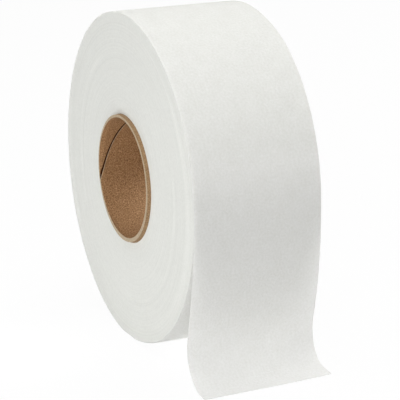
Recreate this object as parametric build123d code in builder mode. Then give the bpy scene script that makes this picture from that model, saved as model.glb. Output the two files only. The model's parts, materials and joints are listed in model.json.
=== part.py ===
from build123d import *

import os
from math import asin, cos, degrees, radians, sin, sqrt

# A jumbo toilet paper roll that stands on its tread, with a loose tail that reaches the floor.
# The origin is the centre of the core's bore, on the roll's axis.
# +Y runs along the axis, +X points to the side where the tail hangs, and +Z is up.

# Roll, mm
roll_radius = 114.0
web_width = 91.0
sheet_thickness = 0.2
flat_spot_width = 24.0

# Core, a spiral-wound kraft tube, mm
bore_radius = 41.9
core_wall = 2.4
core_stand_out = 3.1

# Seam between the plies on the core's inner wall, mm, and where it meets the near end, degrees
seam_pitch = 83.0
seam_width = 0.5
seam_depth = 0.3
seam_end_angle = 194.0

# Loose tail, from where it leaves the roll down to its toe on the floor, mm and degrees
leave_angle = 1.0
upper_drop = 12.0
bow_turn = 12.0
lower_drop = 20.0
curl_radius = 23.7
toe_length = 4.5

# Rings that the edges of the turns draw on both end faces: depths and margins in mm, the
# unevenness as a share of the spacing, and its drift from ring to ring in radians
ring_count = 6
ring_crest = 0.1
ring_trough = 0.3
ring_margin = 2.6
ring_unevenness = 0.35
ring_drift = 2.4

os.makedirs("parts", exist_ok=True)

# The outermost turn is a spiral of two half circles: the lower one is half a sheet smaller, so
# that it ends one sheet below the place where the tail leaves.
lower_radius = roll_radius - sheet_thickness / 2
lower_centre = (
    -sheet_thickness / 2 * cos(radians(leave_angle)),
    sheet_thickness / 2 * sin(radians(leave_angle)),
)
floor_z = lower_centre[1] - sqrt(lower_radius**2 - (flat_spot_width / 2) ** 2)
flat_half_angle = degrees(asin(flat_spot_width / 2 / lower_radius))

# The bow fills the height that the tail's other stretches leave, so the toe lies on the floor.
slope = leave_angle + bow_turn
tail_start_z = -(roll_radius - sheet_thickness) * sin(radians(leave_angle))
straight_height = upper_drop * cos(radians(leave_angle)) + lower_drop * cos(radians(slope))
curl_height = (curl_radius + sheet_thickness) * (1 + sin(radians(slope)))
bow_height = tail_start_z - floor_z - straight_height - curl_height
bow_radius = bow_height / (sin(radians(slope)) - sin(radians(leave_angle)))

# Core
core_radius = bore_radius + core_wall
core_length = web_width + 2 * core_stand_out


def heading(angle):
    """Direction of a line that falls towards the roll at an angle from straight down."""
    return (-sin(radians(angle)), -cos(radians(angle)))


def tail_side(outward):
    """One side of the tail, a distance outward from the side that faces the roll."""
    reach = roll_radius - sheet_thickness + outward
    start = (reach * cos(radians(leave_angle)), -reach * sin(radians(leave_angle)))
    upper = PolarLine(start, upper_drop, direction=heading(leave_angle))
    bow = JernArc(upper @ 1, upper % 1, bow_radius + outward, -bow_turn)
    lower = PolarLine(bow @ 1, lower_drop, direction=heading(slope))
    curl = JernArc(lower @ 1, lower % 1, curl_radius + sheet_thickness - outward, 90 + slope)
    toe = PolarLine(curl @ 1, toe_length, direction=(1, 0))
    return toe @ 1


def ring_profile():
    """Steps and slopes across an end face, as pairs of radius and depth below the face.

    Each ring is a group of turns that leans in from a crest, up to the step of the next group.
    """
    first = core_radius + ring_margin
    spacing = (roll_radius - ring_margin - first) / ring_count
    profile = []
    for k in range(ring_count):
        shift = ring_unevenness * sin(ring_drift * k)
        radius = first + spacing * (k + shift)
        profile += [(radius, ring_trough), (radius, ring_crest)]
    return profile[1:] + [(roll_radius - ring_margin, ring_trough)]


# Wound tissue: the section across the axis, pulled out to the width of the web
with BuildPart() as wound_tissue:
    with BuildSketch(Plane.XZ):
        with BuildLine():
            CenterArc((0, 0), roll_radius, -leave_angle, 180)
            to_flat = 90 + leave_angle - flat_half_angle
            left = CenterArc(lower_centre, lower_radius, 180 - leave_angle, to_flat)
            from_flat = 90 - leave_angle - flat_half_angle
            right = CenterArc(lower_centre, lower_radius, 270 + flat_half_angle, from_flat)
            Line(left @ 1, right @ 0)
            Line(tail_side(0.0), tail_side(sheet_thickness))
        make_face()
        Circle(core_radius, mode=Mode.SUBTRACT)
    extrude(amount=web_width / 2, both=True)

    # Both end faces carry the rings of the turns' edges.
    for end in (-1, 1):
        face_y = end * web_width / 2
        rings = [(radius, face_y - end * depth) for radius, depth in ring_profile()]
        clear_y = face_y + end * ring_trough
        with BuildSketch():
            with BuildLine():
                Polyline((rings[0][0], clear_y), *rings, (rings[-1][0], clear_y), close=True)
            make_face()
        revolve(axis=Axis.Y, mode=Mode.SUBTRACT)

wound_tissue.part.label = "wound_tissue"
export_step(wound_tissue.part, "parts/wound_tissue.step")

# Core: a tube with square-cut ends and the helical seam of its innermost ply
with BuildPart() as cardboard_core:
    with BuildSketch(Plane.XZ):
        Circle(core_radius)
        Circle(bore_radius, mode=Mode.SUBTRACT)
    extrude(amount=core_length / 2, both=True)

    # A helix about +Y starts above the axis, so it begins part of a turn before the near end.
    lead_in = ((90 - seam_end_angle) / 360) % 1 * seam_pitch
    lead_out = seam_pitch / 4
    with BuildLine() as seam:
        Helix(
            seam_pitch,
            lead_in + core_length + lead_out,
            bore_radius,
            center=(0, -core_length / 2 - lead_in, 0),
            direction=(0, 1, 0),
        )
    with BuildSketch(Plane(origin=seam.line @ 0, x_dir=(0, 0, 1), z_dir=seam.line % 0)):
        Rectangle(2 * seam_depth, seam_width)
    sweep(path=seam.line, is_frenet=True, mode=Mode.SUBTRACT)

cardboard_core.part.label = "cardboard_core"
export_step(cardboard_core.part, "parts/cardboard_core.step")
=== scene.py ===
"""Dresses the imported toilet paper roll: its wound turns, its last turn with the tail, and its core."""

import json
import logging
import math
from dataclasses import dataclass
from enum import Enum
from typing import Any

import bpy
from mathutils import Matrix, Vector, noise


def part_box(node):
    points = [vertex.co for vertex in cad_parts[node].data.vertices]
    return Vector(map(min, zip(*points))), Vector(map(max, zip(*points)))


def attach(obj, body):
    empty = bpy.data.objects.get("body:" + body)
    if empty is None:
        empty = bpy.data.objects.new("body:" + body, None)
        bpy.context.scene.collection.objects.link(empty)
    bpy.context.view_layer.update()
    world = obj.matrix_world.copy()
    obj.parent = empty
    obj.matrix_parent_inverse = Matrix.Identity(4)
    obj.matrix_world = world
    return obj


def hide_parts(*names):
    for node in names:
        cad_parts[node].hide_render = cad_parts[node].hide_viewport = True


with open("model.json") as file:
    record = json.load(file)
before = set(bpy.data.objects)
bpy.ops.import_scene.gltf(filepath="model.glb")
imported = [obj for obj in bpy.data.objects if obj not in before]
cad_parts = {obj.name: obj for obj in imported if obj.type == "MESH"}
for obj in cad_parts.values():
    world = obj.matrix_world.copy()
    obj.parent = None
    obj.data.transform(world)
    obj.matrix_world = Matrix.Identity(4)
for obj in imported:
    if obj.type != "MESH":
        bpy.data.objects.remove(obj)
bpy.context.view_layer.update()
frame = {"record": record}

Tree = bpy.types.NodeTree
Node = bpy.types.Node
# What a node's input can be linked to. A node stands for its first output.
Source = bpy.types.NodeSocket | Node

MATH = "ShaderNodeMath"
VECTOR_MATH = "ShaderNodeVectorMath"
SMOOTH = "SMOOTHSTEP"

LOG = logging.getLogger("toilet_paper_roll")

MM = 0.001
BODY = "root"


class End(Enum):
    """The two ends of the roll, by the sign of their place along the axis."""

    NEAR = -1
    FAR = 1


class BoardFace(Enum):
    """Surfaces of the core, by the index of their finish on the mesh."""

    LINER = 0
    CUT_EDGE = 1
    # The seam's finish is partly its own dark joint and partly painted shade deep in the groove.
    SEAM = 2
    OUTSIDE = 3


def linear_colour(code: str) -> tuple[float, float, float, float]:
    """Turns an sRGB hex colour into the linear colour that Blender's sockets take.

    Args:
        code: Colour as "#RRGGBB".

    Returns:
        Linear red, green, blue and an alpha of one.
    """
    channels = [int(code[i : i + 2], 16) / 255 for i in (1, 3, 5)]
    red, green, blue = [c / 12.92 if c <= 0.04045 else ((c + 0.055) / 1.055) ** 2.4 for c in channels]
    return red, green, blue, 1.0


def add_node(tree: Tree, kind: str, inputs: dict[str | int, Any] | None = None, **settings: Any) -> Node:
    """Adds a node, sets its properties, and fills or links its inputs.

    Args:
        tree: Node tree that takes it.
        kind: Type of the node.
        inputs: Values or sources, by input name or index.
        **settings: Properties of the node, such as its operation.

    Returns:
        The new node.
    """
    node = tree.nodes.new(kind)
    for name, value in settings.items():
        setattr(node, name, value)
    for key, value in (inputs or {}).items():
        if isinstance(value, Source):
            tree.links.new(value.outputs[0] if isinstance(value, Node) else value, node.inputs[key])
        else:
            node.inputs[key].default_value = value
    return node


def empty_material(name: str) -> bpy.types.Material:
    """Makes a material whose node tree holds nothing yet."""
    material = bpy.data.materials.new(name)
    material.use_nodes = True
    material.node_tree.nodes.clear()
    return material


def ease(value: float, start: float, end: float) -> float:
    """Rises smoothly from 0 at the start to 1 at the end, or falls where the end comes first."""
    share = min(1.0, max(0.0, (value - start) / (end - start)))
    return share * share * (3 - 2 * share)


def from_axis(tree: Tree, place: Source) -> tuple[Source, Source]:
    """Adds the nodes that see a point from the roll's axis.

    Args:
        tree: Node tree that takes them.
        place: Source of the point.

    Returns:
        Sources of its distance from the axis, and of the direction from the axis to it.
    """
    across = add_node(tree, VECTOR_MATH, {0: place, 1: (1, 0, 1)}, operation="MULTIPLY")
    radius = add_node(tree, VECTOR_MATH, {0: across}, operation="LENGTH")
    direction = add_node(tree, VECTOR_MATH, {0: across}, operation="NORMALIZE")
    return radius.outputs["Value"], direction


def between(tree: Tree, level: Source, span: tuple[float, float], low: str, high: str) -> Source:
    """Adds the nodes that go from one colour to another as a pattern rises.

    Args:
        tree: Node tree that takes them.
        level: Source of the pattern.
        span: Levels at which the colours are full.
        low: Colour of the pattern's low parts.
        high: Colour of its high parts.

    Returns:
        Source of the colour.
    """
    share = add_node(tree, "ShaderNodeMapRange", {"Value": level, "From Min": span[0], "From Max": span[1]})
    mix = {"Factor": share, "A": linear_colour(low), "B": linear_colour(high)}
    return add_node(tree, "ShaderNodeMix", mix, data_type="RGBA").outputs["Result"]


def matte_paper(
    tree: Tree, colour: Source, height: Source, relief: float, roughness: float, ior: float
) -> tuple[Node, Node]:
    """Adds the surface of dry, uncoated paper.

    Args:
        tree: Node tree that takes them.
        colour: Source of its colour.
        height: Source of how far its fibres stand up, from 0 to 1.
        relief: How far they stand up at most, in metres.
        roughness: Roughness of the surface.
        ior: Its index of refraction.

    Returns:
        The surface's node, and the one that gives its bumps.
    """
    bump = add_node(tree, "ShaderNodeBump", {"Height": height, "Distance": relief})
    look = {"Base Color": colour, "Normal": bump, "Roughness": roughness, "IOR": ior}
    return add_node(tree, "ShaderNodeBsdfPrincipled", look), bump


def mesh_piece(name: str, mesh: bpy.types.Mesh) -> bpy.types.Object:
    """Puts a mesh into the scene as an object at the origin."""
    piece = bpy.data.objects.new(name, mesh)
    bpy.context.scene.collection.objects.link(piece)
    return piece


@dataclass(frozen=True)
class RollSizes:
    """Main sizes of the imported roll, in metres.

    Args:
        roll_radius: Outer radius of the wound tissue.
        half_web: Half the width of the web, which is where an end face lies.
        floor_z: Height of what the roll stands on.
        core_radius: Outer radius of the core.
        half_core: Half the length of the core.
        bore_radius: Inner radius of the core.
    """

    roll_radius: float
    half_web: float
    floor_z: float
    core_radius: float
    half_core: float
    bore_radius: float

    @classmethod
    def from_frame(cls) -> "RollSizes":
        """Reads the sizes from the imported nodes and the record's bore."""
        tissue_low, tissue_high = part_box("wound_tissue")
        core_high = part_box("cardboard_core")[1]
        bore = next(m for m in frame["record"]["mounts"] if m["kind"] == "bore")
        return cls(
            roll_radius=-tissue_low.x,
            half_web=tissue_high.y,
            floor_z=tissue_low.z,
            core_radius=core_high.x,
            half_core=core_high.y,
            bore_radius=bore["dims"]["r_mm"] * MM,
        )


@dataclass(frozen=True)
class SlackEdge:
    """Stretch of one end's rim where the outer turns have slid inwards and sunk.

    Args:
        end: End of the roll.
        angle: Middle of the stretch, in radians from +X towards +Z.
        fades_at: Cosine of the angle from the middle where the slackness begins.
        full_at: Cosine of the angle from the middle where it is full.
        slide: How far the edge of the last turn has slid along the axis, in metres.
        sink: How far it has sunk towards the axis, in metres.
    """

    end: End
    angle: float
    fades_at: float
    full_at: float
    slide: float
    sink: float

    def share(self, angle: float) -> float:
        """Gives how slack the rim is at an angle, from 0 to 1."""
        return ease(math.cos(angle - self.angle), self.fades_at, self.full_at)

    def share_nodes(self, tree: Tree, direction: Source, y: Source) -> Source:
        """Adds the nodes that give how slack the rim is.

        Args:
            tree: Node tree that takes them.
            direction: Source of the direction from the axis to a point.
            y: Source of the point's place along the axis.

        Returns:
            Source of the share, from 0 to 1, and 0 at the other end.
        """
        middle = (math.cos(self.angle), 0.0, math.sin(self.angle))
        cosine = add_node(tree, VECTOR_MATH, {0: direction, 1: middle}, operation="DOT_PRODUCT")
        span = {"Value": cosine.outputs["Value"], "From Min": self.fades_at, "From Max": self.full_at}
        share = add_node(tree, "ShaderNodeMapRange", span, interpolation_type=SMOOTH)
        outward = add_node(tree, MATH, {0: y, 1: float(self.end.value)}, operation="MULTIPLY")
        here = add_node(tree, MATH, {0: outward, 1: 0.0}, operation="GREATER_THAN")
        return add_node(tree, MATH, {0: share, 1: here}, operation="MULTIPLY")


SLACK_EDGES = (
    SlackEdge(End.NEAR, math.radians(-15), fades_at=0.1, full_at=0.7, slide=1.1 * MM, sink=0.5 * MM),
    SlackEdge(End.FAR, math.radians(95), fades_at=0.8, full_at=0.97, slide=1.2 * MM, sink=0.1 * MM),
)


@dataclass(frozen=True)
class CrepedTissue:
    """Two-ply creped tissue, as it shows on the tread and the tail.

    The blade that scrapes the sheet off its dryer leaves fine cross ridges and a cloudy formation, so the
    white is soft, fully matte and a little mottled, and the thin sheet lets light through.
    """

    name: str = "creped_tissue"
    white: str = "#FFFFFE"
    cloud: str = "#F3F3F0"
    # Each side of the thin sheet hands on a share of its light, and lets another share straight through the
    # pinholes between its fibres. The tucked start of the web lies flat and dense.
    translucence: float = 0.35
    pinholes: float = 0.24
    dense_length: float = 60.0 * MM
    roughness: float = 0.95
    ior: float = 1.5
    # Crepe ridges are 0.3 mm apart on the real sheet. They are drawn at 1.6 mm, or none would show.
    crepe_spacing: float = 1.6 * MM
    cloud_size: float = 9.0 * MM
    cloud_share: float = 0.3
    # How far from its middle the sum of both patterns is when the colour is full.
    pattern_reach: float = 0.25
    crepe_height: float = 0.3 * MM

    def material(self) -> bpy.types.Material:
        """Builds the finish on the sheet's own UV map, whose unit is a metre."""
        material = empty_material(self.name)
        tree = material.node_tree
        place = add_node(tree, "ShaderNodeUVMap", uv_map="web")
        along = add_node(tree, "ShaderNodeSeparateXYZ", {0: place})
        start = {"Value": along, "From Max": self.dense_length}
        thin = add_node(tree, "ShaderNodeMapRange", start, interpolation_type=SMOOTH)
        handed_on, let_through = (
            add_node(tree, MATH, {0: thin, 1: share}, operation="MULTIPLY")
            for share in (self.translucence, self.pinholes)
        )
        ridges = {"Vector": place, "Scale": 1 / self.crepe_spacing, "Detail": 3.0, "Roughness": 0.6}
        crepe = add_node(tree, "ShaderNodeTexNoise", ridges)
        mottle = {"Vector": place, "Scale": 1 / self.cloud_size, "Detail": 2.0}
        clouds = add_node(tree, "ShaderNodeTexNoise", mottle)
        both = add_node(tree, MATH, {0: clouds, 1: self.cloud_share, 2: crepe}, operation="MULTIPLY_ADD")
        middle = 0.5 + 0.5 * self.cloud_share
        span = (middle - self.pattern_reach, middle + self.pattern_reach)
        colour = between(tree, both, span, self.cloud, self.white)
        surface, bump = matte_paper(tree, colour, crepe, self.crepe_height, self.roughness, self.ior)
        through = add_node(tree, "ShaderNodeBsdfTranslucent", {"Color": colour, "Normal": bump})
        fibres = add_node(tree, "ShaderNodeMixShader", {0: handed_on, 1: surface, 2: through})
        holes = add_node(tree, "ShaderNodeBsdfTransparent")
        sheet = add_node(tree, "ShaderNodeMixShader", {0: let_through, 1: fibres, 2: holes})
        add_node(tree, "ShaderNodeOutputMaterial", {"Surface": sheet})
        return material


@dataclass(frozen=True)
class TurnEdges:
    """Cut edges of the wound turns, as the end faces of the roll show them.

    The saw leaves the stacked edges soft and matte. Turns that stand a little proud or deep draw faint
    rings, painted into the colour as painted light on proud turns and painted shade on deep ones, mixed
    with the fibres' random tone.
    """

    name: str = "sawn_turn_edges_and_painted_rings"
    # Painted light on turns that stand proud, and painted shade on turns that lie deep.
    proud: str = "#EEEFEA"
    deep: str = "#E6E7E2"
    roughness: float = 0.97
    ior: float = 1.5
    # Single turns are 0.12 mm apart. Groups of about ten are drawn, or none would show.
    ring_spacing: float = 1.2 * MM
    fibre_size: float = 1.4 * MM
    fibre_height: float = 0.1 * MM
    # Sums of the ring and fibre patterns at which the colour is fully the deep turns' painted shade and
    # fully the proud turns' painted light.
    deep_shade_at: float = 0.7
    proud_light_at: float = 1.3

    def material(self) -> bpy.types.Material:
        """Builds the finish on object coordinates, as rings about the roll's axis."""
        material = empty_material(self.name)
        tree = material.node_tree
        place = add_node(tree, "ShaderNodeTexCoord").outputs["Object"]
        radius, direction = from_axis(tree, place)
        count = add_node(tree, MATH, {0: radius, 1: 1 / self.ring_spacing}, operation="MULTIPLY")
        along = add_node(tree, "ShaderNodeCombineXYZ", {0: count})
        ring_point = add_node(tree, VECTOR_MATH, {0: along, 1: direction}, operation="ADD")
        rings = add_node(tree, "ShaderNodeTexNoise", {"Vector": ring_point, "Scale": 1.0, "Detail": 2.0})
        fibres = add_node(
            tree, "ShaderNodeTexNoise", {"Vector": place, "Scale": 1 / self.fibre_size, "Detail": 3.0}
        )
        both = add_node(tree, MATH, {0: rings, 1: fibres}, operation="ADD")
        # The rings are painted shade on deep turns and painted light on proud ones, over the fibres' random
        # tone.
        colour = between(tree, both, (self.deep_shade_at, self.proud_light_at), self.deep, self.proud)
        surface, _ = matte_paper(tree, colour, fibres, self.fibre_height, self.roughness, self.ior)
        add_node(tree, "ShaderNodeOutputMaterial", {"Surface": surface})
        return material


@dataclass(frozen=True)
class KraftBoard:
    """Unbleached kraft board: a brown mat of fibres with lighter and darker flecks, matte and dry.

    Args:
        name: Name of the finish.
        brown: Main colour.
        light_fleck: Colour of the light fibres.
        dark_fleck: Colour of the dark fibres.
    """

    name: str
    brown: str
    light_fleck: str
    dark_fleck: str
    roughness: float = 0.85
    ior: float = 1.5
    # Fibres are a few hundredths of a millimetre wide. They are drawn at 0.8 mm, or none would show.
    fleck_size: float = 0.8 * MM
    fleck_height: float = 0.08 * MM
    # Levels of the fleck pattern at which each colour is full.
    dark_at: float = 0.3
    brown_at: float = 0.5
    light_at: float = 0.72

    def material(self) -> bpy.types.Material:
        """Builds the finish on object coordinates."""
        material = empty_material(self.name)
        tree = material.node_tree
        place = add_node(tree, "ShaderNodeTexCoord").outputs["Object"]
        fibres = {"Vector": place, "Scale": 1 / self.fleck_size, "Detail": 4.0, "Roughness": 0.7}
        flecks = add_node(tree, "ShaderNodeTexNoise", fibres)
        ramp = add_node(tree, "ShaderNodeValToRGB", {"Fac": flecks})
        stops = ramp.color_ramp.elements
        stops[0].position, stops[1].position = self.dark_at, self.light_at
        stops[0].color, stops[1].color = linear_colour(self.dark_fleck), linear_colour(self.light_fleck)
        stops.new(self.brown_at).color = linear_colour(self.brown)
        surface, _ = matte_paper(tree, ramp, flecks, self.fleck_height, self.roughness, self.ior)
        add_node(tree, "ShaderNodeOutputMaterial", {"Surface": surface})
        return material


@dataclass
class WoundTurns:
    """The wound web under its last turn: a ring of tissue whose end faces show the turns' edges.

    Geometry Nodes carry the section round the axis and then set each point of an end face as deep as the
    turns lie there.
    """

    sizes: RollSizes
    finish: TurnEdges
    under_last_turn: float = 0.5 * MM
    core_gap: float = 0.15 * MM
    rings: int = 110
    segments: int = 256
    across_tread: int = 3
    relief: float = 0.7 * MM
    ring_spacing: float = 1.5 * MM
    ring_drift: float = 1.2
    # Share of the relief that is left outside the bands whose rings show well.
    calm_share: float = 0.12
    # Radius and half width of each of those bands.
    loud_rings: tuple[tuple[float, float], ...] = ((106.5 * MM, 5.0 * MM), (85.5 * MM, 4.0 * MM))
    shoulder_width: float = 12.0 * MM
    # Points less than this from the plane of an end belong to its face.
    face_margin: float = 0.01 * MM
    sharp_angle: float = math.radians(40)
    seed: float = 4.0

    def node_group(self, values: dict[str, float | int | bpy.types.Material]) -> Tree:
        """Builds the node tree.

        Args:
            values: What each input is set to, by the input's name.

        Returns:
            The tree, with its sizes, seed and finish as named inputs.
        """
        tree = bpy.data.node_groups.new("wound_turns", "GeometryNodeTree")
        tree.interface.new_socket("Geometry", in_out="OUTPUT", socket_type="NodeSocketGeometry")
        kinds = {float: "NodeSocketFloat", int: "NodeSocketInt", bpy.types.Material: "NodeSocketMaterial"}
        for name, value in values.items():
            tree.interface.new_socket(name, in_out="INPUT", socket_type=kinds[type(value)])
        given = add_node(tree, "NodeGroupInput").outputs

        body = self.ring_of_tissue(tree, given)
        place = add_node(tree, "GeometryNodeInputPosition")
        parts = add_node(tree, "ShaderNodeSeparateXYZ", {0: place}).outputs
        slide, sink = self.shoulder(tree, given, place)
        rings = self.turn_depth(tree, given, place)
        depth = add_node(tree, MATH, {0: rings, 1: slide})
        # Only points of an end face move, each towards the middle of the web.
        from_middle = add_node(tree, MATH, {0: parts[1]}, operation="ABSOLUTE")
        past_tread = add_node(tree, MATH, {0: given["Half Web"], 1: self.face_margin}, operation="SUBTRACT")
        on_face = add_node(tree, MATH, {0: from_middle, 1: past_tread}, operation="GREATER_THAN")
        end = add_node(tree, MATH, {0: parts[1]}, operation="SIGN")
        inward = add_node(tree, MATH, {0: depth, 1: end}, operation="MULTIPLY")
        face_y = add_node(tree, MATH, {0: parts[1], 1: inward}, operation="SUBTRACT")
        choice = {"Switch": on_face, "False": parts[1], "True": face_y}
        new_y = add_node(tree, "GeometryNodeSwitch", choice, input_type="FLOAT")
        face_sink = add_node(tree, VECTOR_MATH, {0: sink, "Scale": on_face}, operation="SCALE")
        sunk = add_node(tree, VECTOR_MATH, {0: place, 1: face_sink}, operation="SUBTRACT")
        sunk_parts = add_node(tree, "ShaderNodeSeparateXYZ", {0: sunk}).outputs
        flat_z = add_node(tree, MATH, {0: sunk_parts[2], 1: given["Floor Height"]}, operation="MAXIMUM")
        new_place = add_node(tree, "ShaderNodeCombineXYZ", {0: sunk_parts[0], 1: new_y, 2: flat_z})
        moved = add_node(tree, "GeometryNodeSetPosition", {"Geometry": body, "Position": new_place})
        corner = add_node(tree, "GeometryNodeInputMeshEdgeAngle")
        sharp = add_node(tree, MATH, {0: corner, 1: self.sharp_angle}, operation="GREATER_THAN")
        crease = {"Geometry": moved, "Name": "sharp_edge", "Value": sharp}
        creased = add_node(
            tree, "GeometryNodeStoreNamedAttribute", crease, data_type="BOOLEAN", domain="EDGE"
        )
        realized = add_node(tree, "GeometryNodeRealizeInstances", {"Geometry": creased})
        finished = add_node(
            tree, "GeometryNodeSetMaterial", {"Geometry": realized, "Material": given["Finish"]}
        )
        add_node(tree, "NodeGroupOutput", {"Geometry": finished})
        return tree

    def ring_of_tissue(self, tree: Tree, given: bpy.types.NodeOutputs) -> Source:
        """Adds the nodes that carry a rectangle round the axis.

        Args:
            tree: Node tree that takes them.
            given: Outputs of the tree's input node.

        Returns:
            Source of the ring, with its axis along Y.
        """
        both = add_node(tree, MATH, {0: given["Outer Radius"], 1: given["Inner Radius"]}, operation="ADD")
        middle = add_node(tree, MATH, {0: both, 1: 0.5}, operation="MULTIPLY")
        wall = add_node(
            tree, MATH, {0: given["Outer Radius"], 1: given["Inner Radius"]}, operation="SUBTRACT"
        )
        width = add_node(tree, MATH, {0: given["Half Web"], 1: 2.0}, operation="MULTIPLY")
        circle = add_node(
            tree, "GeometryNodeCurvePrimitiveCircle", {"Resolution": given["Segments"], "Radius": middle}
        )
        section = add_node(
            tree, "GeometryNodeCurvePrimitiveQuadrilateral", {"Width": wall, "Height": width}
        )
        # Every second side of the section is an end face, which needs a cut for each ring.
        side = add_node(tree, "GeometryNodeInputIndex")
        odd = add_node(tree, MATH, {0: side, 1: 2.0}, operation="MODULO")
        choice = {"Switch": odd, "False": given["Rings"], "True": given["Tread Cuts"]}
        cuts = add_node(tree, "GeometryNodeSwitch", choice, input_type="INT")
        cut_section = add_node(tree, "GeometryNodeSubdivideCurve", {"Curve": section, "Cuts": cuts})
        swept = add_node(tree, "GeometryNodeCurveToMesh", {"Curve": circle, "Profile Curve": cut_section})
        along_y = {"Geometry": swept, "Rotation": (math.radians(90), 0.0, 0.0)}
        return add_node(tree, "GeometryNodeTransform", along_y)

    def shoulder(self, tree: Tree, given: bpy.types.NodeOutputs, place: Source) -> tuple[Source, Source]:
        """Adds the nodes that say how the outermost turns have slid and sunk where they are slack.

        Args:
            tree: Node tree that takes them.
            given: Outputs of the tree's input node.
            place: Source of a point's place.

        Returns:
            Sources of how deep the turns have slid, and of how far they have sunk, as a vector.
        """
        radius, direction = from_axis(tree, place)
        y = add_node(tree, "ShaderNodeSeparateXYZ", {0: place}).outputs[1]
        inner = add_node(
            tree, MATH, {0: given["Outer Radius"], 1: self.shoulder_width}, operation="SUBTRACT"
        )
        rim = {"Value": radius, "From Min": inner, "From Max": given["Outer Radius"]}
        near_rim = add_node(tree, "ShaderNodeMapRange", rim, interpolation_type=SMOOTH)
        slides, sinks = [], []
        for edge in SLACK_EDGES:
            share = edge.share_nodes(tree, direction, y)
            here = add_node(tree, MATH, {0: share, 1: near_rim}, operation="MULTIPLY")
            for amount, moves in ((edge.slide, slides), (edge.sink, sinks)):
                moves.append(add_node(tree, MATH, {0: here, 1: amount}, operation="MULTIPLY"))
        slide, sink = (add_node(tree, MATH, {0: near, 1: far}) for near, far in (slides, sinks))
        inward = add_node(tree, VECTOR_MATH, {0: direction, "Scale": sink}, operation="SCALE")
        return slide, inward

    def turn_depth(self, tree: Tree, given: bpy.types.NodeOutputs, place: Source) -> Source:
        """Adds the nodes that say how deep below an end face the turns lie.

        Args:
            tree: Node tree that takes them.
            given: Outputs of the tree's input node.
            place: Source of a point's place.

        Returns:
            Source of the depth, which changes fast with the radius and slowly round the axis.
        """
        radius, direction = from_axis(tree, place)
        drift = add_node(tree, VECTOR_MATH, {0: direction, "Scale": self.ring_drift}, operation="SCALE")
        count = add_node(tree, MATH, {0: radius, 1: given["Ring Spacing"]}, operation="DIVIDE")
        along = add_node(tree, "ShaderNodeCombineXYZ", {1: count})
        point = add_node(tree, VECTOR_MATH, {0: along, 1: drift}, operation="ADD")
        rings = {"Vector": point, "W": given["Seed"], "Scale": 1.0, "Detail": 1.0}
        depth = add_node(tree, "ShaderNodeTexNoise", rings, noise_dimensions="4D")
        strength = self.calm_share
        for middle, half_width in self.loud_rings:
            offset = add_node(tree, MATH, {0: radius, 1: middle}, operation="SUBTRACT")
            away = add_node(tree, MATH, {0: offset}, operation="ABSOLUTE")
            band = {"Value": away, "From Max": half_width, "To Min": 1 - self.calm_share, "To Max": 0.0}
            near = add_node(tree, "ShaderNodeMapRange", band, interpolation_type=SMOOTH)
            strength = add_node(tree, MATH, {0: strength, 1: near})
        for factor in (strength, given["Relief"]):
            depth = add_node(tree, MATH, {0: depth, 1: factor}, operation="MULTIPLY")
        return depth

    def build(self) -> bpy.types.Object:
        """Runs the node tree on an empty mesh and keeps its result as a plain one.

        Returns:
            The finished piece.
        """
        values = {
            "Inner Radius": self.sizes.core_radius + self.core_gap,
            "Outer Radius": self.sizes.roll_radius - self.under_last_turn,
            "Half Web": self.sizes.half_web,
            "Floor Height": self.sizes.floor_z + self.under_last_turn,
            "Relief": self.relief,
            "Ring Spacing": self.ring_spacing,
            "Rings": self.rings,
            "Segments": self.segments,
            "Tread Cuts": self.across_tread,
            "Seed": self.seed,
            "Finish": self.finish.material(),
        }
        maker = mesh_piece("wound_turns_maker", bpy.data.meshes.new("wound_turns_maker"))
        modifier = maker.modifiers.new("turns", "NODES")
        modifier.node_group = self.node_group(values)
        for item in modifier.node_group.interface.items_tree:
            if item.in_out == "INPUT":
                modifier[item.identifier] = values[item.name]
        evaluated = maker.evaluated_get(bpy.context.evaluated_depsgraph_get())
        mesh = bpy.data.meshes.new_from_object(evaluated)
        maker.modifiers.remove(modifier)
        bpy.data.objects.remove(maker)
        mesh.name = "wound_turns"
        piece = mesh_piece("wound_turns", mesh)
        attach(piece, BODY)
        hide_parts("wound_tissue")
        return piece


@dataclass
class WebPath:
    """Line that the outer side of the web follows across the roll's axis, walked in short steps.

    Args:
        points: Points passed so far, each as X and Z.
        normals: Directions away from the roll at those points.
        heading: Angle of travel from straight down, in radians, positive towards the roll.
        step: Longest step, in metres.
    """

    points: list[Vector]
    normals: list[Vector]
    heading: float
    step: float

    def walk(self, length: float, turn: float = 0.0) -> None:
        """Goes on for a length while the heading turns evenly.

        Args:
            length: Length of the walk, in metres.
            turn: Change of the heading, in radians, positive towards the roll.
        """
        steps = math.ceil(length / self.step)
        for _ in range(steps):
            middle = self.heading + turn / steps / 2
            way = Vector((-math.sin(middle), -math.cos(middle)))
            self.points.append(self.points[-1] + way * length / steps)
            self.heading += turn / steps
            self.normals.append(Vector((math.cos(self.heading), -math.sin(self.heading))))


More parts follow.
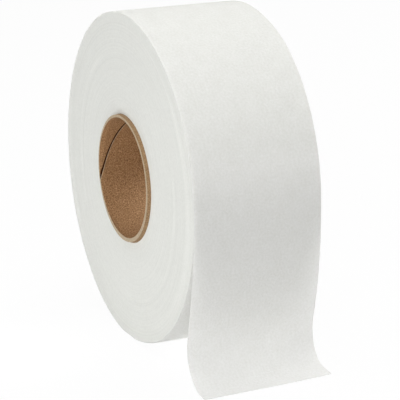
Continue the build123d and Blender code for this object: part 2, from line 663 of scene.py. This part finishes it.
@dataclass
class LastTurn:
    """The last turn of the web and the loose tail that hangs from it to the floor."""

    sizes: RollSizes
    finish: CrepedTissue
    thickness: float = 0.2 * MM
    turn_gap: float = 0.06 * MM
    tuck: float = math.radians(20)
    leave_angle: float = math.radians(1.0)
    upper_drop: float = 12.0 * MM
    bow_turn: float = math.radians(12.0)
    lower_drop: float = 20.0 * MM
    curl_radius: float = 23.7 * MM
    toe_length: float = 4.5 * MM
    wrap_step: float = 2.0 * MM
    tail_step: float = 1.0 * MM
    across_step: float = 1.6 * MM
    edge_steps: tuple[float, ...] = (0.0, 0.3 * MM, 0.8 * MM)
    # Shallow waves, a little longer across the web than along it, that grow down the tail.
    wave_height: float = 0.5 * MM
    wave_size: float = 30.0 * MM
    wave_stretch: float = 0.8
    wave_seed: float = 3.7
    wave_onset: float = 70.0 * MM
    # The two edges of the web waver within the outer tenth of each half.
    edge_waver: float = 0.12 * MM
    waver_size: float = 12.0 * MM
    waver_per_metre: float = 40.0
    waver_seed: float = 8.1
    waver_share: float = 0.1
    floor_gap: float = 0.08 * MM
    # Where the roll is slack, the sheet's edge slides along and bends down over the shoulder.
    slid_width: float = 8.0 * MM
    sunk_width: float = 1.6 * MM
    # The toe is turned a little: its near corner reaches out, and its far corner stays off the floor.
    near_reach: float = 2.5 * MM
    near_swing: float = 1.2 * MM
    far_lift: float = 2.4 * MM
    far_droop: float = 0.2
    lift_power: float = 1.3
    # Stretches over which each change comes in, measured from where the tail leaves the roll.
    hangs_free: tuple[float, float] = (15.0 * MM, 45.0 * MM)
    toe_turns: tuple[float, float] = (98.0 * MM, 130.0 * MM)
    corner_lifts: tuple[float, float] = (108.0 * MM, 124.0 * MM)
    corner_droops: tuple[float, float] = (126.0 * MM, 130.0 * MM)

    def path(self) -> tuple[WebPath, int]:
        """Works out the line of the web's outer side.

        Returns:
            The path, and the index of its point where the tail leaves the roll.
        """
        path = WebPath([], [], self.leave_angle, self.tail_step)
        spacing = self.thickness + self.turn_gap
        angle_span = 2 * math.pi + self.tuck
        steps = math.ceil(angle_span * self.sizes.roll_radius / self.wrap_step)
        for i in range(steps + 1):
            before_leaving = angle_span * (1 - i / steps)
            angle = before_leaving - self.leave_angle
            radius = self.sizes.roll_radius - spacing * before_leaving / (2 * math.pi)
            out = Vector((math.cos(angle), math.sin(angle)))
            point = radius * out
            point.y = max(point.y, self.sizes.floor_z)
            path.points.append(point)
            path.normals.append(out)
        slope = self.leave_angle + self.bow_turn
        drop = path.points[-1].y - self.sizes.floor_z - self.thickness
        straights = self.upper_drop * math.cos(self.leave_angle) + self.lower_drop * math.cos(slope)
        curl_height = self.curl_radius * (1 + math.sin(slope))
        bow_radius = (drop - straights - curl_height) / (math.sin(slope) - math.sin(self.leave_angle))
        path.walk(self.upper_drop)
        path.walk(bow_radius * self.bow_turn, self.bow_turn)
        path.walk(self.lower_drop)
        quarter = math.pi / 2
        path.walk(self.curl_radius * (quarter + slope), -quarter - slope)
        path.walk(self.toe_length)
        return path, steps

    def across(self) -> list[float]:
        """Lists the places across the web, closer together by its two edges."""
        half = self.sizes.half_web
        *edge, first = self.edge_steps
        count = round((half - first) * 2 / self.across_step)
        inner = [first + (2 * half - 2 * first) * i / count for i in range(count + 1)]
        offsets = [*edge, *inner, *(2 * half - step for step in reversed(edge))]
        return [offset - half for offset in offsets]

    def place(self, point: Vector, normal: Vector, length: float, loose: float, y: float) -> Vector:
        """Finds where a point of the web's outer side lies, with its waves, edges and turned toe.

        Args:
            point: Point of the path, as X and Z.
            normal: Direction away from the roll at that point.
            length: Length of the path up to it.
            loose: Length past the place where the tail leaves the roll, negative before it.
            y: Place across the web.

        Returns:
            The point in space.
        """
        half = self.sizes.half_web
        near_side, far_side = max(0.0, -y / half), max(0.0, y / half)
        from_edge = half - abs(y)
        # On the wound turns the edges follow the shoulders, and on the tail they hang free.
        hanging = ease(loose, *self.hangs_free)
        wave = Vector((length / self.wave_size, self.wave_stretch * y / self.wave_size, self.wave_seed))
        out = self.wave_height * ease(loose, 0.0, self.wave_onset) * noise.noise(wave)
        waver = Vector((length / self.waver_size, y * self.waver_per_metre, self.waver_seed))
        strength = self.edge_waver * noise.noise(waver)
        across = y + strength * ease(from_edge, self.waver_share * half, 0.0)
        angle = math.atan2(point.y, point.x)
        for edge in SLACK_EDGES:
            share = edge.share(angle) * (1 - hanging)
            from_end = half - edge.end.value * y
            across -= edge.end.value * edge.slide * share * ease(from_end, self.slid_width, 0.0)
            out -= edge.sink * share * ease(from_end, self.sunk_width, 0.0)
        toe = ease(loose, *self.toe_turns)
        across -= self.near_swing * near_side * toe
        shifted = point + normal * out
        x = shifted.x + self.near_reach * near_side * toe
        lift = self.far_lift * far_side**self.lift_power * ease(loose, *self.corner_lifts)
        z = shifted.y + lift * (1 - self.far_droop * ease(loose, *self.corner_droops))
        if loose > 0:
            z = max(z, self.sizes.floor_z + self.thickness + self.floor_gap)
        return Vector((x, across, z))

    def build(self) -> bpy.types.Object:
        """Returns:
            The finished piece.
        """
        path, leaving = self.path()
        lengths = [0.0]
        for before, after in zip(path.points, path.points[1:]):
            lengths.append(lengths[-1] + (after - before).length)
        places = self.across()
        vertices, uvs = [], []
        for point, normal, length in zip(path.points, path.normals, lengths):
            for y in places:
                vertices.append(self.place(point, normal, length, length - lengths[leaving], y))
                uvs.append((length, y))
        columns = len(places)
        faces = []
        for row in range(len(path.points) - 1):
            for column in range(columns - 1):
                corner = row * columns + column
                faces.append((corner, corner + columns, corner + columns + 1, corner + 1))
        mesh = bpy.data.meshes.new("last_turn")
        mesh.from_pydata(vertices, [], faces)
        layer = mesh.uv_layers.new(name="web")
        for loop in mesh.loops:
            layer.data[loop.index].uv = uvs[loop.vertex_index]
        mesh.shade_smooth()
        mesh.materials.append(self.finish.material())
        piece = mesh_piece("last_turn", mesh)
        wall = piece.modifiers.new("thickness", "SOLIDIFY")
        wall.thickness = self.thickness
        wall.offset = -1.0
        wall.use_even_offset = False
        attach(piece, BODY)
        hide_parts("wound_tissue")
        return piece


@dataclass
class KraftCore:
    """The spiral-wound tube that the web is wound on, open at both ends."""

    sizes: RollSizes
    liner: KraftBoard
    cut_edge: KraftBoard
    # Finish of the seam's groove: partly its own dark joint, partly painted shade.
    seam: KraftBoard
    outside: KraftBoard
    seam_pitch: float = 83.0 * MM
    seam_end_angle: float = math.radians(194.0)
    seam_width: float = 1.1 * MM
    seam_depth: float = 0.4 * MM
    seam_wall: float = 0.04 * MM
    # Beside the seam the edge of the liner stands up as a lip, which falls off over a few times its width.
    lip_width: float = 0.35 * MM
    lip_height: float = 0.06 * MM
    lip_widths_to_foot: float = 4.0
    plies: int = 5
    ply_relief: float = 0.06 * MM
    columns: int = 240
    rows: int = 96
    sharp_angle: float = math.radians(35)
    # The near mouth is crushed a little: cut askew, lower than it is wide, and worn thin on its left.
    mouth_length: float = 3.2 * MM
    mouth_askew: float = 0.6 * MM
    mouth_worn: float = 0.9 * MM
    bore_shift: float = 0.73 * MM
    bore_squash: float = 0.45 * MM
    rim_shift: float = 0.24 * MM
    rim_squash: float = 0.59 * MM

    def place(self, radius: float, y: float, angle: float) -> Vector:
        """Finds where a point of the tube lies, with its crushed near mouth.

        Args:
            radius: Distance from the axis.
            y: Place along the axis.
            angle: Angle about the axis, in radians from +X towards +Z.

        Returns:
            The point in space.
        """
        bore, outer, half = self.sizes.bore_radius, self.sizes.core_radius, self.sizes.half_core
        mouth = ease(y, self.mouth_length - half, -half)
        share = min(1.0, max(0.0, (radius - bore) / (outer - bore)))
        worn = mouth * (1 - share) * self.mouth_worn * max(0.0, -math.cos(angle))
        shift = self.bore_shift + (self.rim_shift - self.bore_shift) * share
        squash = self.bore_squash + (self.rim_squash - self.bore_squash) * share
        x = (radius + worn) * math.cos(angle)
        z = radius * math.sin(angle) + mouth * (shift - squash * math.sin(angle))
        return Vector((x, y + mouth * self.mouth_askew * (1 + math.cos(angle)) / 2, z))

    def column_phases(self) -> list[tuple[float, BoardFace, float]]:
        """Lists the columns of points, which all run parallel to the seam.

        Returns:
            For each column its angle from the seam, the surface that follows it, and the bore's recess.
        """
        slant = math.sin(math.atan2(self.seam_pitch, 2 * math.pi * self.sizes.bore_radius))
        per_metre = 1 / (self.sizes.bore_radius * slant)
        half = self.seam_width / 2
        # The groove's walls and floor take the seam's finish, whose dark brown is partly painted shade.
        seam_columns = [
            (-half, BoardFace.SEAM, 0.0),
            (-half + self.seam_wall, BoardFace.SEAM, self.seam_depth),
            (half - self.seam_wall, BoardFace.SEAM, self.seam_depth),
            # The lip's top takes the lighter cut-edge finish: partly the liner's own cut edge, partly a
            # painted highlight along the seam.
            (half, BoardFace.CUT_EDGE, -self.lip_height),
            (half + self.lip_width, BoardFace.LINER, -self.lip_height),
            (half + self.lip_widths_to_foot * self.lip_width, BoardFace.LINER, 0.0),
        ]
        columns = [(place * per_metre, face, recess) for place, face, recess in seam_columns]
        last = columns[-1][0]
        first = columns[0][0] + 2 * math.pi
        count = self.columns
        columns += [(last + (first - last) * i / count, BoardFace.LINER, 0.0) for i in range(1, count)]
        return columns

    def section(self) -> list[tuple[float, float, BoardFace | None, float]]:
        """Walks round the wall's section, from the near end along the bore and back outside.

        Returns:
            For each row its radius, its place along the axis, the surface that follows it, where None is
            the bore's, and the share of the seam's recess that it takes.
        """
        bore, outer, half = self.sizes.bore_radius, self.sizes.core_radius, self.sizes.half_core
        shares = [i / (2 * self.plies) for i in range(1, 2 * self.plies)]
        ends = [
            (bore + (outer - bore) * share, half - self.ply_relief * (i % 2 == 0))
            for i, share in enumerate(shares)
        ]
        along = [half * (2 * i / self.rows - 1) for i in range(self.rows + 1)]
        inside = [(bore, y, None, 1.0) for y in along[:-1]]
        far = [(radius, y, BoardFace.CUT_EDGE, 0.0) for radius, y in ends]
        outside = [(outer, -y, BoardFace.OUTSIDE, 0.0) for y in along[:-1]]
        near = [(radius, -y, BoardFace.CUT_EDGE, 0.0) for radius, y in reversed(ends)]
        far_lip = (bore, half, BoardFace.CUT_EDGE, 1.0)
        near_rim = (outer, -half, BoardFace.CUT_EDGE, 0.0)
        return [*inside, far_lip, *far, *outside, near_rim, *near]

    def build(self) -> bpy.types.Object:
        """Makes the tube with its seam, its cut ends and its plies.

        Returns:
            The finished piece.
        """
        columns = self.column_phases()
        section = self.section()
        vertices, faces, finishes = [], [], []
        for radius, y, _, share in section:
            for phase, _, recess in columns:
                along_seam = 2 * math.pi * (y + self.sizes.half_core) / self.seam_pitch
                angle = self.seam_end_angle + phase - along_seam
                vertices.append(self.place(radius + recess * share, y, angle))
        width, height = len(columns), len(section)
        for row, (_, _, face, _) in enumerate(section):
            here, above = row * width, (row + 1) % height * width
            for column in range(width):
                beside = (column + 1) % width
                faces.append((here + column, here + beside, above + beside, above + column))
                finishes.append((face or columns[column][1]).value)
        mesh = bpy.data.meshes.new("core_tube")
        mesh.from_pydata(vertices, [], faces)
        for finish in (self.liner, self.cut_edge, self.seam, self.outside):
            mesh.materials.append(finish.material())
        mesh.polygons.foreach_set("material_index", finishes)
        mesh.shade_smooth()
        mesh.set_sharp_from_angle(angle=self.sharp_angle)
        mesh.update()
        piece = mesh_piece("core_tube", mesh)
        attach(piece, BODY)
        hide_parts("cardboard_core")
        return piece


@dataclass(frozen=True)
class Lamp:
    """A soft square lamp.

    Args:
        name: Name of the lamp.
        place: Where it hangs, in metres.
        size: Length of its sides, in metres.
        power: Its power, in watts.
        target: Place that it points at, in metres.
        spread: Angle of the cone that it lights, in radians.
        colour: Colour of its light.
    """

    name: str
    place: tuple[float, float, float]
    size: float
    power: float
    target: tuple[float, float, float] = (0.0, 0.0, 0.0)
    spread: float = math.pi
    colour: str = "#FFFFFF"

    @classmethod
    def aimed(
        cls, name: str, azimuth: float, elevation: float, distance: float, size: float, power: float
    ) -> "Lamp":
        """Makes a lamp from the direction in which it hangs.

        Args:
            name: Name of the lamp.
            azimuth: Its direction seen from above, in degrees from the near end towards +X.
            elevation: Its height above the horizon, in degrees.
            distance: Its distance from the origin, in metres.
            size: Length of its sides, in metres.
            power: Its power, in watts.

        Returns:
            The lamp.
        """
        turn, rise = math.radians(azimuth), math.radians(elevation)
        level = distance * math.cos(rise)
        place = (level * math.sin(turn), -level * math.cos(turn), distance * math.sin(rise))
        return cls(name, place, size, power)

    def build(self) -> None:
        """Hangs the lamp."""
        data = bpy.data.lights.new(self.name, "AREA")
        data.size = self.size
        data.energy = self.power
        data.color = linear_colour(self.colour)[:3]
        data.spread = self.spread
        lamp = bpy.data.objects.new(self.name, data)
        lamp.location = self.place
        lamp.rotation_mode = "QUATERNION"
        lamp.rotation_quaternion = (Vector(self.target) - Vector(self.place)).to_track_quat("-Z", "Y")
        lamp.visible_camera = False
        bpy.context.scene.collection.objects.link(lamp)


@dataclass(frozen=True)
class PaintedLightPool:
    """Round patch of painted light on the floor, which shines onto the roll though it is no lamp, brightest
    in its middle.

    Args:
        place: Its middle on the floor, in metres.
        radius: Distance from the middle where it has faded to about a third.
        strength: Its brightness in the middle.
    """

    place: tuple[float, float]
    radius: float
    strength: float

    def level(self, tree: Tree, point: Source) -> Source:
        """Adds the nodes that give the patch's brightness at a point of the floor.

        Args:
            tree: Node tree that takes them.
            point: Source of the point.

        Returns:
            Source of the brightness.
        """
        share = 1 / self.radius
        offset = add_node(tree, VECTOR_MATH, {0: point, 1: (*self.place, 0.0)}, operation="SUBTRACT")
        scaled = add_node(tree, VECTOR_MATH, {0: offset, 1: (share, share, 0.0)}, operation="MULTIPLY")
        square = add_node(tree, VECTOR_MATH, {0: scaled, 1: scaled}, operation="DOT_PRODUCT")
        minus = add_node(tree, MATH, {0: square.outputs["Value"], 1: -1.0}, operation="MULTIPLY")
        fading = add_node(tree, MATH, {0: minus}, operation="EXPONENT")
        return add_node(tree, MATH, {0: fading, 1: self.strength}, operation="MULTIPLY")


@dataclass
class Studio:
    """Plain white floor with patches of painted light that shine onto the roll, white surroundings and soft
    lamps.
    """

    sizes: RollSizes
    floor_half_size: float = 3.0
    floor_colour: str = "#FBFBFB"
    shadow_share: float = 0.05
    # Place, radius and strength of each patch of painted light, which shines onto the roll though the floor
    # is no lamp.
    painted_light_pools: tuple[PaintedLightPool, ...] = (
        PaintedLightPool((0.06, 0.0), 0.035, 1.1),
        PaintedLightPool((0.0, -0.13), 0.05, 0.57),
    )
    # Azimuth, elevation, distance, size and power of each lamp.
    lamps: tuple[Lamp, ...] = (
        Lamp.aimed("overhead", 0, 90, 2.0, 2.0, 34.0),
        Lamp.aimed("behind_high", 180, 50, 2.2, 1.0, 5.1),
        Lamp.aimed("front_right_low", 60, 15, 2.2, 0.8, 16.9),
        Lamp.aimed("front_low", 30, 15, 2.2, 0.8, 4.0),
        Lamp.aimed("front_left_low", 0, 15, 2.2, 0.8, 7.7),
        Lamp.aimed("behind_left_low", 195, 15, 2.2, 0.8, 12.8),
        # A small lamp in the far mouth of the bore lights its left wall and its floor.
        Lamp(
            "in_bore",
            place=(0.022, 0.046, 0.022),
            size=0.02,
            power=0.0072,
            target=(-0.026, -0.004, -0.037),
            spread=math.radians(45),
            colour="#EAF4FF",
        ),
    )

    def plain_white(self, tree: Tree) -> Source:
        """Adds the nodes that tell whether a ray sees the surroundings as plain white.

        Args:
            tree: Node tree that takes them.

        Returns:
            Source of 1 for what is seen directly, in gloss or through a surface, and of 0 otherwise.
        """
        rays = add_node(tree, "ShaderNodeLightPath").outputs
        seen = rays["Is Camera Ray"]
        for kind in ("Is Glossy Ray", "Is Transmission Ray"):
            seen = add_node(tree, MATH, {0: seen, 1: rays[kind]}, operation="MAXIMUM")
        return seen

    def world(self) -> None:
        """Makes the surroundings, which are plain white where they are seen and dark to other rays."""
        world = bpy.data.worlds.new("studio")
        world.use_nodes = True
        tree = world.node_tree
        tree.nodes.clear()
        look = {"Color": linear_colour("#FFFFFF"), "Strength": self.plain_white(tree)}
        light = add_node(tree, "ShaderNodeBackground", look)
        add_node(tree, "ShaderNodeOutputWorld", {"Surface": light})
        bpy.context.scene.world = world

    def floor(self) -> None:
        """Lays the floor, which looks white but keeps a faint share of the roll's shadow."""
        half = self.floor_half_size
        corners = [
            (right * half, back * half, self.sizes.floor_z)
            for right, back in ((-1, -1), (1, -1), (1, 1), (-1, 1))
        ]
        mesh = bpy.data.meshes.new("floor")
        mesh.from_pydata(corners, [], [(0, 1, 2, 3)])
        material = empty_material("floor_paint_and_painted_glow")
        tree = material.node_tree
        matte = add_node(tree, "ShaderNodeBsdfDiffuse", {"Color": linear_colour(self.floor_colour)})
        point = add_node(tree, "ShaderNodeTexCoord").outputs["Object"]
        # Patches of painted light make the floor shine onto the roll, though it is no lamp.
        level = self.painted_light_pools[0].level(tree, point)
        for painted_pool in self.painted_light_pools[1:]:
            level = add_node(tree, MATH, {0: level, 1: painted_pool.level(tree, point)})
        painted_glow = add_node(tree, "ShaderNodeEmission", {"Strength": level})
        paint_and_glow = add_node(tree, "ShaderNodeAddShader", {0: matte, 1: painted_glow})
        white = add_node(tree, "ShaderNodeEmission", {"Strength": 1.0})
        share = {0: self.plain_white(tree), 1: 1 - self.shadow_share}
        seen = add_node(tree, MATH, share, operation="MULTIPLY")
        shown = add_node(tree, "ShaderNodeMixShader", {0: seen, 1: paint_and_glow, 2: white})
        add_node(tree, "ShaderNodeOutputMaterial", {"Surface": shown})
        mesh.materials.append(material)
        mesh_piece("floor", mesh)

    def build(self) -> None:
        """Sets up the surroundings, the floor and the lamps."""
        self.world()
        self.floor()
        for lamp in self.lamps:
            lamp.build()


@dataclass
class PhotoCamera:
    """Camera at the photograph's viewing angle."""

    azimuth: float = math.radians(66.357)
    elevation: float = math.radians(16.337)
    roll: float = math.radians(-0.474)
    lens: float = 181.55
    distance: float = 1.393
    shift_right: float = 8.76 * MM
    shift_up: float = -20.21 * MM

    def build(self) -> None:
        """Places the camera and makes it the scene's own."""
        data = bpy.data.cameras.new("photo_camera")
        data.sensor_width = 36.0
        data.lens = self.lens
        data.clip_start = 0.05
        data.clip_end = 50.0
        turn, level, rise = self.azimuth, math.cos(self.elevation), math.sin(self.elevation)
        back = Vector((math.sin(turn) * level, -math.cos(turn) * level, rise))
        right = Vector((math.cos(self.azimuth), math.sin(self.azimuth), 0.0))
        turned = Matrix.Rotation(self.roll, 3, back) @ right
        up = back.cross(turned)
        place = back * self.distance + turned * self.shift_right + up * self.shift_up
        axes = Matrix((turned, up, back)).transposed().to_4x4()
        camera = bpy.data.objects.new("photo_camera", data)
        camera.matrix_world = Matrix.Translation(place) @ axes
        bpy.context.scene.collection.objects.link(camera)
        bpy.context.scene.camera = camera


def main() -> None:
    """Builds the roll, its surroundings and the camera."""
    logging.basicConfig(level=logging.INFO, format="%(name)s: %(message)s")
    sizes = RollSizes.from_frame()
    PhotoCamera().build()
    Studio(sizes).build()
    builders = (
        WoundTurns(sizes, TurnEdges()),
        LastTurn(sizes, CrepedTissue()),
        KraftCore(
            sizes,
            liner=KraftBoard("kraft_liner", "#9A734B", "#D0A378", "#573C24"),
            cut_edge=KraftBoard("cut_kraft_edge", "#BBA78B", "#CBBAA1", "#A18D71"),
            # The seam's dark brown is partly its own dark joint and partly painted shade deep in its
            # groove.
            seam=KraftBoard("kraft_seam_and_painted_shade", "#3C2009", "#4C2B12", "#2A170A", ior=1.1),
            outside=KraftBoard("kraft_outside", "#997A57", "#BC9D79", "#6E5438"),
        ),
    )
    for builder in builders:
        piece = builder.build()
        LOG.info("%s has %d faces", piece.name, len(piece.data.polygons))
    bpy.context.scene.view_settings.view_transform = "Standard"


if __name__ == "__main__":
    main()
